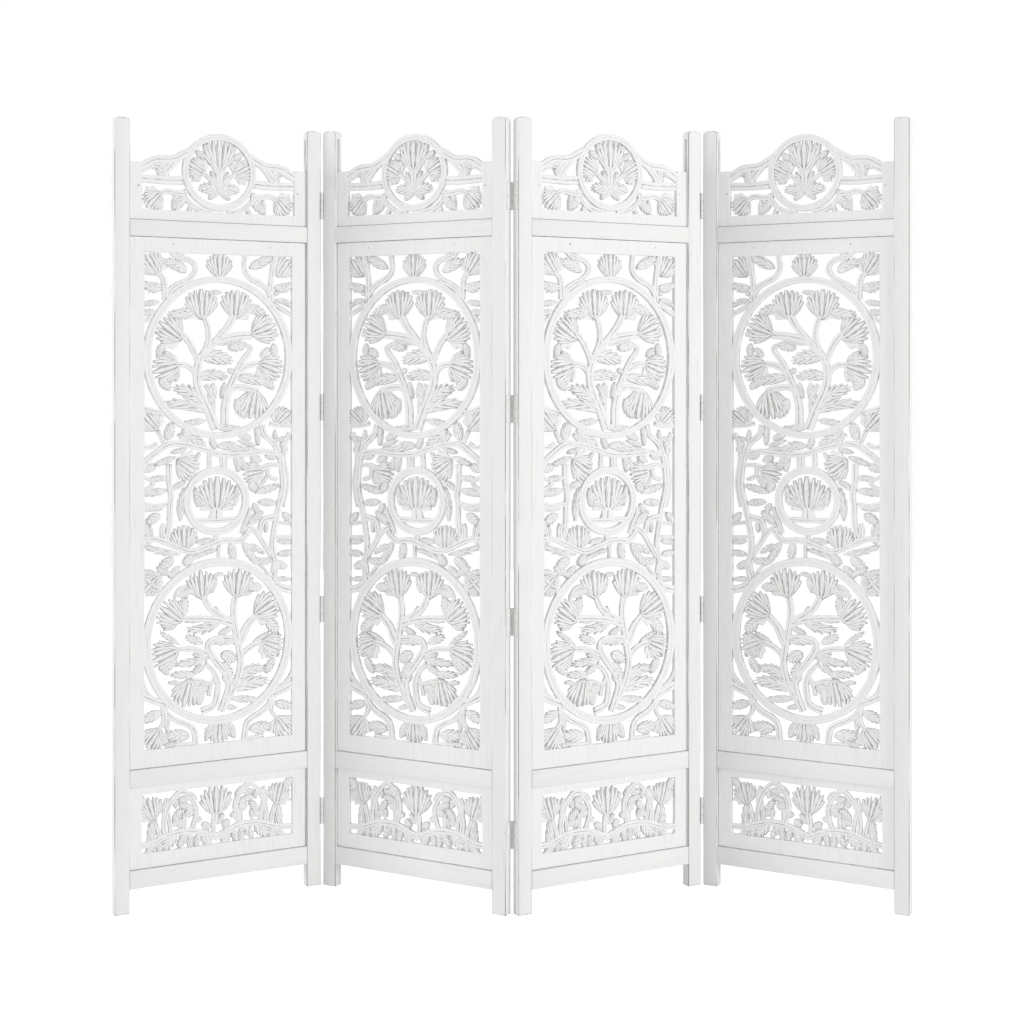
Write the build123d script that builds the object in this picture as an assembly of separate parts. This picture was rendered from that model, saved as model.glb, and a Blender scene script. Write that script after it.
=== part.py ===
from build123d import *
import os

# A free-standing folding screen: four tall panels of painted wood, hinged edge to edge and stood in
# a zigzag. Each panel is two posts and three rails, tongued and grooved together, round three boards
# that are fretted right through in a pattern of lotus flowers, leaves and vines.
# Millimetres. Each panel is built flat, with X from its left edge, Y from its front face, Z up.

# ---------------------------------------------------------------- driving sizes: the frame
PANEL_WIDTH = 508
PANEL_HEIGHT = 1830
FRAME_THICKNESS = 25
POST_WIDTH = 36
POST_TOP_RADIUS = 8
LEG_LENGTH = 55
GROOVE_STOP = 20
BOTTOM_RAIL_HEIGHT = 42
LOWER_OPENING_HEIGHT = 191
MIDDLE_RAIL_HEIGHT = 40
TOP_RAIL_HEIGHT = 38
POST_RISE = 233

# ---------------------------------------------------------------- driving sizes: the boards
BOARD_THICKNESS = 12
TONGUE_THICKNESS = 6
TONGUE_DEPTH = 8
TONGUE_ROOT = 5
GROOVE_SIDE_CLEARANCE = 0.1
GROOVE_END_CLEARANCE = 0.5
BOARD_EDGE_CLEARANCE = 0.15

# ---------------------------------------------------------------- driving sizes: the fretwork
MAIN_SIDE_BORDER = 30
MAIN_END_BORDER = 35
RING_WIDTH = 16
RING_INTO_BORDER = 1.5
RING_TO_END_BORDER = 56
SMALL_RING_RADIUS = 79
SMALL_RING_WIDTH = 13
LOWER_SIDE_BORDER = 23
LOWER_END_BORDER = 24
CREST_RING_RADIUS = 93
CREST_RING_WIDTH = 17
CREST_RING_HEIGHT = 120
CREST_BOTTOM_BORDER = 25
CREST_SIDE_BORDER = 26
CREST_SHOULDER_HEIGHT = 137
CREST_RIM = 15
RING_SIDES = 16
SMALL_RING_SIDES = 12
STEM_ROOT_WIDTH = 13
STEM_TIP_WIDTH = 8
VINE_WIDTH = 9

# ---------------------------------------------------------------- driving sizes: hinges and stance
HINGE_COUNT = 4
HINGE_INSET = 180
HINGE_LENGTH = 63.5
LEAF_THICKNESS = 1.2
LEAF_WIDTH = 20
LEAF_GAP = 0.4
PIN_RADIUS = 1.5
PIN_CLEARANCE = 0.05
BARREL_DIAMETER = 6
BARREL_SIDES = 8
PIN_SIDES = 8
BARREL_STANDOFF = 0.2
KNUCKLE_GAP = 0.2
FOLD_ANGLE = 29

# ---------------------------------------------------------------- sizes that follow
POST_GAP = 2 * LEAF_THICKNESS + LEAF_GAP
GROOVE_WIDTH = TONGUE_THICKNESS + 2 * GROOVE_SIDE_CLEARANCE
GROOVE_DEPTH = TONGUE_DEPTH + GROOVE_END_CLEARANCE
CLEAR_WIDTH = PANEL_WIDTH - 2 * POST_WIDTH
CENTRE_X = PANEL_WIDTH / 2
MID_Y = FRAME_THICKNESS / 2

LOWER_BASE_Z = LEG_LENGTH + BOTTOM_RAIL_HEIGHT
MIDDLE_RAIL_Z = LOWER_BASE_Z + LOWER_OPENING_HEIGHT
MAIN_BASE_Z = MIDDLE_RAIL_Z + MIDDLE_RAIL_HEIGHT
CREST_BASE_Z = PANEL_HEIGHT - POST_RISE
TOP_RAIL_Z = CREST_BASE_Z - TOP_RAIL_HEIGHT
MAIN_OPENING_HEIGHT = TOP_RAIL_Z - MAIN_BASE_Z

PIN_OFFSET = BARREL_DIAMETER / 2 + BARREL_STANDOFF
BORE_RADIUS = PIN_RADIUS + PIN_CLEARANCE


# ---------------------------------------------------------------- motifs of the fretwork
# An outline is closed by (share of the length, share of the length to the left) of its base and tip.
LEAF_OUTLINE = [(-0.1, 0), (0.35, 0.2), (1, 0), (0.35, -0.2)]
FLOWER_OUTLINE = [(-0.1, 0), (0.45, 0.52), (1, 0.34), (1, -0.34), (0.45, -0.52)]


def ring(centre, radius, width, sides=RING_SIDES):
    """A medallion's rim, cut as a many-sided band."""
    band = RegularPolygon(radius, sides) - RegularPolygon(radius - width, sides)
    return Pos(*centre) * band


def stem(points, root_width, tip_width):
    """A strip that follows the points and tapers from its root to its tip."""
    line = [Vector(*point) for point in points]
    last = len(line) - 1
    left, right = [], []
    for i, point in enumerate(line):
        along = (line[min(i + 1, last)] - line[max(i - 1, 0)]).normalized()
        half = (root_width + (tip_width - root_width) * i / last) / 2
        across = Vector(-along.Y, along.X) * half
        left.append(point + across)
        right.append(point - across)
    return make_face(Polyline(*left, *reversed(right), close=True))


def shape_along(base, tip, outline):
    """Lays an outline from its base to its tip."""
    start, along = Vector(*base), Vector(*tip) - Vector(*base)
    across = Vector(-along.Y, along.X)
    return make_face(Polyline(*[start + along * a + across * b for a, b in outline], close=True))


def leaf(base, tip):
    """A pointed leaf with its belly near the root."""
    return shape_along(base, tip, LEAF_OUTLINE)


def flower(base, tip):
    """An opening lotus seen from the side: a cup under a fan of petals."""
    return shape_along(base, tip, FLOWER_OUTLINE)


def in_zone(centre, half_width, half_height):
    """Turns percents of a zone's half width and half height into board millimetres."""
    return lambda u, v: (centre[0] + u * half_width / 100, centre[1] + v * half_height / 100)


def motifs(zone, stems=(), flowers=(), leaves=(), vines=()):
    """The motifs of one zone, whose points are percents of that zone."""
    return (
        [stem([zone(*point) for point in points], STEM_ROOT_WIDTH, STEM_TIP_WIDTH) for points in stems]
        + [stem([zone(*point) for point in points], VINE_WIDTH, VINE_WIDTH) for points in vines]
        + [flower(zone(*base), zone(*tip)) for base, tip in flowers]
        + [leaf(zone(*base), zone(*tip)) for base, tip in leaves]
    )


def flipped(zone, across=1, up=1):
    """The same zone seen from its other side or from its other end."""
    return lambda u, v: zone(across * u, up * v)


# ---------------------------------------------------------------- the main board's pattern
TREE_STEMS = [
    [(0, -97), (-31, -27), (-19, 22), (-23, 56)],
    [(-29, -12), (-50, 26)],
    [(-32, -28), (-58, -12)],
    [(-21, 8), (0, 30), (16, 56)],
    [(-2, 26), (48, 36)],
    [(0, -84), (18, -20), (44, 12)],
    [(16, -20), (58, -10)],
    [(8, -46), (44, -34), (45, -50)],
]
TREE_FLOWERS = [
    [(-22, 52), (-26, 86)],
    [(16, 52), (23, 86)],
    [(-48, 26), (-84, 44)],
    [(-56, -12), (-92, -20)],
    [(46, 33), (82, 46)],
    [(56, -10), (90, -18)],
    [(46, -46), (40, -84)],
]
TREE_LEAVES = [
    [(-22, 0), (18, -8)],
    [(-12, -72), (-84, -52)],
]
CORNER_LEAVES = [[(44, 69), (35, 104)]]
CORNER_FLOWERS = [[(74, 56), (97, 96)]]
END_LOTUS = [[(0, 77), (0, 102)]]
MIDDLE_VINES = [
    [(-98, 33), (-36, 37), (0, 22), (40, 34), (100, 28)],
    [(-84, -30), (-40, -34), (0, -22), (40, -32), (91, -30)],
    [(-70, 67), (-102, 38), (-66, -4), (-90, -40), (-70, -67)],
    [(70, 67), (102, 30), (82, -16), (98, -44), (70, -67)],
]
MIDDLE_FLOWERS = [
    [(92, 8), (46, 16)],
    [(-81, 13), (-38, 24)],
]
SMALL_LOTUS = [[(0, -70), (0, 80)]]

# ---------------------------------------------------------------- the lower and crest boards' patterns
LOWER_VINES = [[(-104, -60), (-30, -46), (0, -62), (32, -46), (104, -60)]]
LOWER_SIDE_VINES = [[(22, -50), (45, 96), (64, -58)]]
LOWER_SIDE_FLOWERS = [[(58, 10), (88, 74)]]
LOWER_SIDE_LEAVES = [[(80, -70), (86, 30)]]
LOWER_LOTUS = [[(0, -50), (0, 104)]]
CREST_SHOULDER = [(97, 12), (78, 34), (58, 37), (50, 50)]
CREST_STEMS = [[(0, -96), (0, 20)]]
CREST_RING_FLOWERS = [[(0, 10), (0, 88)]]
CREST_SIDE_STEMS = [[(2, -56), (50, 14)]]
CREST_SIDE_FLOWERS = [[(44, 8), (88, 16)]]
CREST_SIDE_LEAVES = [[(2, -64), (54, -34)]]
CREST_WING_VINES = [
    [(-20, -34), (40, -30), (104, -18)],
    [(-30, -84), (36, -66), (60, -62)],
]
CREST_WING_FLOWERS = [[(44, -62), (84, -102)]]
CREST_WING_LEAVES = [[(26, -28), (60, 12)]]


# ---------------------------------------------------------------- fretted boards
def board(visible_width, visible_height, fret):
    """A fretted board with a tongue all round, standing on its base edge's centre."""
    body_width = visible_width - 2 * BOARD_EDGE_CLEARANCE
    body_height = visible_height - 2 * BOARD_EDGE_CLEARANCE
    blank = Rectangle(body_width, body_height) - Rectangle(*fret["window"])
    openwork = blank + fret["motifs"]
    tongue = Rectangle(visible_width + 2 * TONGUE_DEPTH, visible_height + 2 * TONGUE_DEPTH)
    tongue -= Rectangle(body_width - 2 * TONGUE_ROOT, body_height - 2 * TONGUE_ROOT)
    return Pos(0, 0, visible_height / 2) * cut_through(openwork, tongue)


def cut_through(openwork, tongue):
    """Gives the openwork its thickness and the tongue its own, both about the board's middle."""
    body = extrude(Plane.XZ * openwork, BOARD_THICKNESS / 2, both=True)
    return body + extrude(Plane.XZ * tongue, TONGUE_THICKNESS / 2, both=True)


def main_board():
    """Two big medallions, a small one between them, and vines round about."""
    window_width = CLEAR_WIDTH - 2 * MAIN_SIDE_BORDER
    window_height = MAIN_OPENING_HEIGHT - 2 * MAIN_END_BORDER
    half_width = window_width / 2
    radius = half_width + RING_INTO_BORDER
    ring_height = window_height / 2 - RING_TO_END_BORDER - half_width
    faces = [ring((0, 0), SMALL_RING_RADIUS, SMALL_RING_WIDTH, SMALL_RING_SIDES)]
    for up in (1, -1):
        centre = (0, up * ring_height)
        tree = flipped(in_zone(centre, radius, radius), across=up)
        end = in_zone(centre, half_width, up * (window_height / 2 - ring_height))
        faces += [ring(centre, radius, RING_WIDTH)]
        tie_ends = (SMALL_RING_RADIUS - SMALL_RING_WIDTH / 2, ring_height - radius + RING_WIDTH / 2)
        faces += [stem([(0, up * height) for height in tie_ends], VINE_WIDTH, VINE_WIDTH)]
        faces += motifs(tree, TREE_STEMS, TREE_FLOWERS, TREE_LEAVES)
        faces += motifs(end, flowers=END_LOTUS)
        for across in (1, -1):
            corner = flipped(end, across=across)
            faces += motifs(corner, flowers=CORNER_FLOWERS, leaves=CORNER_LEAVES)
    middle = in_zone((0, 0), half_width, ring_height)
    faces += motifs(middle, flowers=MIDDLE_FLOWERS, vines=MIDDLE_VINES)
    small = in_zone((0, 0), SMALL_RING_RADIUS, SMALL_RING_RADIUS)
    faces += motifs(small, flowers=SMALL_LOTUS)
    fret = {"window": (window_width, window_height), "motifs": faces}
    return board(CLEAR_WIDTH, MAIN_OPENING_HEIGHT, fret)


def lower_board():
    """One lotus between two scrolling vines."""
    window_width = CLEAR_WIDTH - 2 * LOWER_SIDE_BORDER
    window_height = LOWER_OPENING_HEIGHT - 2 * LOWER_END_BORDER
    zone = in_zone((0, 0), window_width / 2, window_height / 2)
    faces = motifs(zone, flowers=LOWER_LOTUS, vines=LOWER_VINES)
    for across in (1, -1):
        side = flipped(zone, across=across)
        faces += motifs(side, flowers=LOWER_SIDE_FLOWERS, leaves=LOWER_SIDE_LEAVES, vines=LOWER_SIDE_VINES)
    fret = {"window": (window_width, window_height), "motifs": faces}
    return board(CLEAR_WIDTH, LOWER_OPENING_HEIGHT, fret)


def crest_board():
    """The shaped top board: a medallion that rises above two scrolled shoulders."""
    half_width = CLEAR_WIDTH / 2 - BOARD_EDGE_CLEARANCE
    base = BOARD_EDGE_CLEARANCE - CREST_RING_HEIGHT
    shoulder = CREST_SHOULDER_HEIGHT - CREST_RING_HEIGHT
    window_half = half_width - CREST_SIDE_BORDER
    window_base = base + CREST_BOTTOM_BORDER
    shoulder_zone = in_zone((0, 0), window_half, CREST_RING_RADIUS)
    ring_zone = in_zone((0, 0), CREST_RING_RADIUS, CREST_RING_RADIUS)
    notch, crown, valley, tip = [shoulder_zone(*point) for point in CREST_SHOULDER]

    right = [(half_width, base), (half_width, shoulder), notch, crown, valley, tip]
    left = [(-x, y) for x, y in reversed(right)]
    outline = make_face(Polyline(*right, *left, close=True))
    outline = outline + RegularPolygon(CREST_RING_RADIUS, RING_SIDES)
    window = [
        (0, window_base),
        (window_half, window_base),
        (window_half, shoulder - 2 * CREST_RIM),
        (crown[0], crown[1] - CREST_RIM),
        (valley[0], valley[1] - CREST_RIM),
        (0, valley[1] - CREST_RIM),
    ]
    faces = motifs(ring_zone, CREST_STEMS, CREST_RING_FLOWERS)
    for across in (1, -1):
        outline -= make_face(Polyline(*[(across * x, y) for x, y in window], close=True))
        faces += motifs(flipped(ring_zone, across), CREST_SIDE_STEMS, CREST_SIDE_FLOWERS, CREST_SIDE_LEAVES)
        wing_centre = (across * CREST_RING_RADIUS, 0)
        wing_zone = in_zone(wing_centre, across * (window_half - CREST_RING_RADIUS), -window_base)
        faces += motifs(wing_zone, (), CREST_WING_FLOWERS, CREST_WING_LEAVES, CREST_WING_VINES)
    openwork = outline - RegularPolygon(CREST_RING_RADIUS - CREST_RING_WIDTH, RING_SIDES)
    openwork = openwork + ring((0, 0), CREST_RING_RADIUS, CREST_RING_WIDTH) + faces

    low = -CREST_RING_HEIGHT - TONGUE_DEPTH
    high = shoulder - BOARD_EDGE_CLEARANCE
    wide = CLEAR_WIDTH / 2 + TONGUE_DEPTH
    root = half_width - TONGUE_ROOT
    tongue = make_face(
        Polyline(
            (-wide, low), (wide, low), (wide, high), (root, high),
            (root, base + TONGUE_ROOT), (-root, base + TONGUE_ROOT), (-root, high), (-wide, high),
            close=True,
        )
    )
    return Pos(0, 0, CREST_RING_HEIGHT) * cut_through(openwork, tongue)


# ---------------------------------------------------------------- posts and rails
def left_post():
    """A post with its groove on the inner edge, stopped above the foot and below the top."""
    blank = Box(POST_WIDTH, FRAME_THICKNESS, PANEL_HEIGHT, align=Align.MIN)
    top_edges = blank.edges().filter_by(Axis.Y).group_by(Axis.Z)[-1]
    blank = fillet(top_edges, POST_TOP_RADIUS)
    groove_length = PANEL_HEIGHT - GROOVE_STOP - LEG_LENGTH
    groove = Box(GROOVE_DEPTH, GROOVE_WIDTH, groove_length, align=(Align.MAX, Align.CENTER, Align.MIN))
    return blank - Pos(POST_WIDTH, MID_Y, LEG_LENGTH) * groove


def rail(height, grooved_top, grooved_bottom):
    """A rail that stands on its base edge, with a stub tenon at each end for the posts' grooves."""
    standing = (Align.CENTER, Align.CENTER, Align.MIN)
    body = Box(CLEAR_WIDTH, FRAME_THICKNESS, height, align=standing)
    body += Box(CLEAR_WIDTH + 2 * TONGUE_DEPTH, TONGUE_THICKNESS, height, align=standing)
    groove_length = CLEAR_WIDTH + 2 * TONGUE_DEPTH
    if grooved_top:
        top = Pos(0, 0, height - GROOVE_DEPTH)
        body -= top * Box(groove_length, GROOVE_WIDTH, GROOVE_DEPTH, align=standing)
    if grooved_bottom:
        body -= Box(groove_length, GROOVE_WIDTH, GROOVE_DEPTH, align=standing)
    return body


def panel_pieces():
    """The pieces of one panel, each where it stands when the panel lies along X."""
    post = left_post()
    at = lambda z: Pos(CENTRE_X, MID_Y, z)
    return {
        "left_post": post,
        "right_post": Pos(PANEL_WIDTH, 0, 0) * mirror(post, about=Plane.YZ),
        "bottom_rail": at(LEG_LENGTH) * rail(BOTTOM_RAIL_HEIGHT, True, False),
        "middle_rail": at(MIDDLE_RAIL_Z) * rail(MIDDLE_RAIL_HEIGHT, True, True),
        "top_rail": at(TOP_RAIL_Z) * rail(TOP_RAIL_HEIGHT, True, True),
        "lower_board": at(LOWER_BASE_Z) * lower_board(),
        "main_board": at(MAIN_BASE_Z) * main_board(),
        "crest_board": at(CREST_BASE_Z) * crest_board(),
    }


# ---------------------------------------------------------------- hinges
KNUCKLE_LENGTH = (HINGE_LENGTH - 2 * KNUCKLE_GAP) / 3
KNUCKLE_PITCH = KNUCKLE_LENGTH + KNUCKLE_GAP


def bar(sides, across_corners=None, across_flats=None, length=KNUCKLE_LENGTH):
    """A many-sided bar about the pin line, which keeps twelve hinges light."""
    if across_corners:
        section = RegularPolygon(across_corners / 2, sides)
    else:
        section = RegularPolygon(across_flats / 2, sides, major_radius=False, rotation=180 / sides)
    return extrude(section, length / 2, both=True)


def leaf_with_knuckles(side, knuckle_levels, bored):
    """A leaf on the post edge at one side of the pin, with its knuckles round the pin at the origin."""
    plate_x = side * (LEAF_GAP / 2 + LEAF_THICKNESS / 2)
    plate = Pos(plate_x, PIN_OFFSET, 0) * Box(
        LEAF_THICKNESS, LEAF_WIDTH, HINGE_LENGTH, align=(Align.CENTER, Align.MIN, Align.CENTER)
    )
    solid = plate
    for level in knuckle_levels:
        at = Pos(0, 0, level * KNUCKLE_PITCH)
        knuckle = at * bar(BARREL_SIDES, across_corners=BARREL_DIAMETER)
        web = at * Pos(plate_x, 0, 0) * Box(
            LEAF_THICKNESS, PIN_OFFSET, KNUCKLE_LENGTH, align=(Align.CENTER, Align.MIN, Align.CENTER)
        )
        solid += [knuckle, web]
    if bored:
        solid -= bar(PIN_SIDES, across_flats=2 * BORE_RADIUS, length=HINGE_LENGTH)
    return solid


def hinge_pieces():
    """A three-knuckle butt hinge with its pin at the origin and its leaves running back along +Y."""
    pin_length = KNUCKLE_LENGTH + 2 * KNUCKLE_GAP
    return {
        "outer_leaves": leaf_with_knuckles(-1, (-1, 1), False),
        "inner_leaves": leaf_with_knuckles(1, (0,), True),
        "pins": bar(PIN_SIDES, across_corners=2 * PIN_RADIUS, length=pin_length),
    }


# ---------------------------------------------------------------- stance of the panels
def left_pin(at_front):
    """The hinge line at a panel's left edge, on its front or its back face."""
    return Vector(-POST_GAP / 2, -PIN_OFFSET if at_front else FRAME_THICKNESS + PIN_OFFSET)


def right_pin(at_front):
    """The hinge line at a panel's right edge, on its front or its back face."""
    return Vector(PANEL_WIDTH + POST_GAP / 2, -PIN_OFFSET if at_front else FRAME_THICKNESS + PIN_OFFSET)


def place(angle, pin, target):
    """The place of a panel turned by the angle, whose own pin point stands on the target."""
    return Pos(*(target - pin.rotate(Axis.Z, angle))) * Rot(0, 0, angle)


def point_in(location, point):
    """A point of a panel, once the panel is placed."""
    return (location * Pos(*point)).position


centre_line = Vector(0, 0)
panel_2 = place(-FOLD_ANGLE, right_pin(False), centre_line)
line_1_2 = point_in(panel_2, left_pin(True))
panel_1 = place(FOLD_ANGLE, right_pin(True), line_1_2)
panel_3 = place(FOLD_ANGLE, left_pin(False), centre_line)
line_3_4 = point_in(panel_3, right_pin(True))
panel_4 = place(-FOLD_ANGLE, left_pin(True), line_3_4)
places = [panel_1, panel_2, panel_3, panel_4]

# ---------------------------------------------------------------- all the nodes
nodes = {}
pieces = panel_pieces()
carved = ("lower_board", "main_board", "crest_board")
for number, location in enumerate(places, start=1):
    for name, piece in pieces.items():
        if name in carved and number % 2 == 0:
            piece = Pos(PANEL_WIDTH, 0, 0) * mirror(piece, about=Plane.YZ)
        nodes[f"panel_{number}_{name}"] = location * piece

hinge = hinge_pieces()
hinge_span = PANEL_HEIGHT - 2 * HINGE_INSET
hinge_heights = [HINGE_INSET + hinge_span * i / (HINGE_COUNT - 1) for i in range(HINGE_COUNT)]
turned = Rot(0, 0, 180)
joint_lines = {
    "1_2": (Pos(*right_pin(True)), Pos(), panel_1, Pos(*left_pin(True)), panel_2),
    "2_3": (Pos(*left_pin(False)), turned, panel_3, Pos(*right_pin(False)), panel_2),
    "3_4": (Pos(*right_pin(True)), Pos(), panel_3, Pos(*left_pin(True)), panel_4),
}
for pair, (outer_pin, turn, outer_panel, inner_pin, inner_panel) in joint_lines.items():
    outer_line = outer_panel * outer_pin * turn
    inner_line = inner_panel * inner_pin * turn
    carried = {"outer_leaves": outer_line, "inner_leaves": inner_line, "pins": outer_line}
    for kind, line in carried.items():
        copies = [line * Pos(0, 0, height) * hinge[kind] for height in hinge_heights]
        nodes[f"hinge_{pair}_{kind}"] = Compound(children=copies)

feet = [nodes[name].bounding_box() for name in nodes if name.endswith("_post")]
footprint_x = min(foot.min.X for foot in feet) + max(foot.max.X for foot in feet)
footprint_y = min(foot.min.Y for foot in feet) + max(foot.max.Y for foot in feet)
stand = Pos(-footprint_x / 2, -footprint_y / 2, 0)

os.makedirs("parts", exist_ok=True)
for name, node in nodes.items():
    export_step(stand * node, f"parts/{name}.step")

for label, line in (("1_2", line_1_2), ("2_3", centre_line), ("3_4", line_3_4)):
    print("hinge line", label, point_in(stand, line))
for number, location in enumerate(places, start=1):
    for centre_of_foot in (POST_WIDTH / 2, PANEL_WIDTH - POST_WIDTH / 2):
        print("panel", number, "foot centre", point_in(stand * location, Vector(centre_of_foot, MID_Y)))
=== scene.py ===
import math

import bmesh
import bpy
from mathutils import Matrix, Vector


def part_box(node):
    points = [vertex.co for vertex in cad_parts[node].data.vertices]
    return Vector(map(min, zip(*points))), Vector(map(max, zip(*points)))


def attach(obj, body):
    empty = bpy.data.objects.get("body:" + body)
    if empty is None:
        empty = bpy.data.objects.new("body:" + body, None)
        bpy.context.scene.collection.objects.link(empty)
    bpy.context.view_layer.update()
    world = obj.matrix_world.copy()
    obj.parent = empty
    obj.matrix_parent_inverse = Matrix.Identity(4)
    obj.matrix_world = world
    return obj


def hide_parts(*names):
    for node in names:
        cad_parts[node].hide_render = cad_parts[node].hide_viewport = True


# A folding screen of four tall panels of white-painted mango wood, carved right through with
# medallions of lotus flowers and hinged edge to edge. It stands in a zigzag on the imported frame.
# Shapes are drawn in a panel's own millimetres: X from its left edge, Y from its front, Z up.
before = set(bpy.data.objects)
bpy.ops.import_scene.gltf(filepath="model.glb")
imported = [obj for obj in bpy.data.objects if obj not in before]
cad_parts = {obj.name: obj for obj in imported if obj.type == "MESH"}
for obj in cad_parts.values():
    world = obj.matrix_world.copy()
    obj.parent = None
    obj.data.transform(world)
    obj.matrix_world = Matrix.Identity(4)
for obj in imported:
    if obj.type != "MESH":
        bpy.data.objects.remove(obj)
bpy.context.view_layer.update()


# ---------------------------------------------------------------- posts
# Two posts to a panel, sawn and planed from 36 x 25 mm mango wood, with the top corners rounded
# over. A groove down each inner edge holds the rails' tenons and the boards' tongues. They are
# brushed with chalk paint over a dark ground coat, and then rubbed through along the arrises.
MM = 0.001
PANELS = (1, 2, 3, 4)
PANEL_TURN = math.radians(29)
FRAME_DEPTH = 25
ARRIS = 1.1
PAINT_WHITE = "#EEEEED"
PAINT_THIN = "#DDE0E1"
GROUND_COAT = "#77716B"
# Chalk paint is nearly matt. Its streaks follow the grain, its thin patches are a hand wide and it is
# rubbed through in spots. The streaks are drawn wider than a brush leaves them, so that they show.
CHALK_ROUGHNESS = 0.62
STREAK_SIZE, CLOUD_SIZE, RUB_SIZE = 5, 90, 9
STREAK_DEPTH = 0.3 * MM
# How far the paint's pattern moves from panel to panel, so that no two panels are marked alike.
PATTERN_SHIFT = 700


def linear(colour):
    """An sRGB hex colour as linear red, green, blue and alpha."""
    values = [int(colour[i:i + 2], 16) / 255 for i in (1, 3, 5)]
    return [v / 12.92 if v <= 0.04045 else ((v + 0.055) / 1.055) ** 2.4 for v in values] + [1]


def add(tree, kind, inputs=(), **settings):
    """Adds a node with its settings, and gives its inputs a value or another node's output."""
    made = tree.nodes.new("ShaderNode" + kind)
    for name, value in settings.items():
        setattr(made, name, value)
    for socket, source in dict(inputs).items():
        if isinstance(source, bpy.types.NodeSocket):
            tree.links.new(source, made.inputs[socket])
        else:
            made.inputs[socket].default_value = source
    return made


def new_material(name):
    """An empty node material, with its tree and its surface shader already joined up."""
    made = bpy.data.materials.new(name)
    made.use_nodes = True
    tree = made.node_tree
    tree.nodes.clear()
    shader = add(tree, "BsdfPrincipled")
    add(tree, "OutputMaterial", {"Surface": shader.outputs[0]})
    return made, tree, shader


def finish_surface(tree, shader, colour, height, strength, depth):
    """Gives a shader its mixed colour, and a bump of the given depth from a pattern's height."""
    bump = add(tree, "Bump", {"Height": height.outputs[0], "Strength": strength, "Distance": depth})
    tree.links.new(colour.outputs[2], shader.inputs["Base Color"])
    tree.links.new(bump.outputs[0], shader.inputs["Normal"])


def chalk_paint(name, grain, rub_from=0.4):
    """Chalk paint on planed wood: matt, thin along the grain, rubbed through on the arrises."""
    # A Map Range takes its value at 0 and its range at 1 and 2, and gives 3 to 4. A Mix has its
    # colours at 6 and 7.
    made, tree, shader = new_material(name)
    place = add(tree, "Attribute", attribute_name="panel_place").outputs["Vector"]
    along = add(tree, "Mapping", {"Vector": place, "Scale": grain})
    streaks = add(tree, "TexNoise", {"Vector": along.outputs[0], "Scale": 1 / STREAK_SIZE, "Detail": 5})
    clouds = add(tree, "TexNoise", {"Vector": place, "Scale": 1 / CLOUD_SIZE, "Detail": 3})
    thin = add(tree, "MapRange", {0: streaks.outputs[0], 1: 0.48, 2: 0.78, 3: 0, 4: 0.8})
    cloudy = add(tree, "MapRange", {0: clouds.outputs[0], 1: 0.42, 2: 0.7, 3: 0.15, 4: 1})
    washed = add(tree, "Math", {0: thin.outputs[0], 1: cloudy.outputs[0]}, operation="MULTIPLY")
    coat = add(tree, "Mix", {"Factor": washed.outputs[0], 6: linear(PAINT_WHITE), 7: linear(PAINT_THIN)},
               data_type="RGBA")
    worn = add(tree, "Attribute", attribute_name="worn")
    rub = add(tree, "TexNoise", {"Vector": along.outputs[0], "Scale": 1 / RUB_SIZE, "Detail": 4})
    rubbed = add(tree, "MapRange", {0: rub.outputs[0], 1: rub_from, 2: rub_from + 0.16})
    bare = add(tree, "Math", {0: worn.outputs["Fac"], 1: rubbed.outputs[0]}, operation="MULTIPLY")
    colour = add(tree, "Mix", {"Factor": bare.outputs[0], 6: coat.outputs[2], 7: linear(GROUND_COAT)},
                 data_type="RGBA")
    finish_surface(tree, shader, colour, streaks, 0.25, STREAK_DEPTH)
    shader.inputs["Roughness"].default_value = CHALK_ROUGHNESS
    return made


def panel_place(number):
    """The place of a panel's own frame on the screen: odd panels turn one way, even ones the other."""
    turn = PANEL_TURN if number % 2 else -PANEL_TURN
    low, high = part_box(f"panel_{number}_left_post")
    width = (high.x - low.x - FRAME_DEPTH * MM * abs(math.sin(turn))) / math.cos(turn)
    corner = Vector((FRAME_DEPTH * MM * max(0, math.sin(turn)), width * max(0, -math.sin(turn)), 0))
    return Matrix.Translation(low + corner) @ Matrix.Rotation(turn, 4, "Z") @ Matrix.Scale(MM, 4)


def as_built(number, node):
    """A copy of a panel's CAD node in the panel's own frame, its loose triangles joined up again."""
    shape = bmesh.new()
    shape.from_mesh(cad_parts[node].data)
    shape.transform(panel_place(number).inverted())
    bmesh.ops.remove_doubles(shape, verts=shape.verts, dist=0.01)
    bmesh.ops.dissolve_limit(shape, angle_limit=math.radians(2), verts=shape.verts, edges=shape.edges)
    return shape


def ease_arrises(shape, width):
    """Rounds the outward arrises, and marks the rounded strips as worn."""
    worn = shape.faces.layers.float.new("worn")
    sharp = [edge for edge in shape.edges
             if edge.is_convex and edge.calc_face_angle(0) > math.radians(40)]
    eased = bmesh.ops.bevel(shape, geom=sharp, offset=width, segments=2, profile=0.5, affect="EDGES",
                            material=-1, clamp_overlap=True)
    for face in eased["faces"]:
        face[worn] = 1


def set_in_place(shape, number, node, finish, paint):
    """Makes a shape in a panel's frame the piece that stands for a node, and hangs it on the panel."""
    layer = shape.verts.layers.float_vector.new("panel_place")
    for vert in shape.verts:
        vert[layer] = vert.co + Vector((0, PATTERN_SHIFT * number, 0))
    shape.transform(panel_place(number))
    name = f"{node}_{finish}"
    mesh = bpy.data.meshes.new(name)
    shape.to_mesh(mesh)
    shape.free()
    mesh.materials.append(paint)
    mesh.shade_smooth()
    mesh.set_sharp_from_angle(angle=math.radians(32))
    piece = bpy.data.objects.new(name, mesh)
    bpy.context.scene.collection.objects.link(piece)
    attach(piece, f"panel_{number}")
    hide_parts(node)


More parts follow.
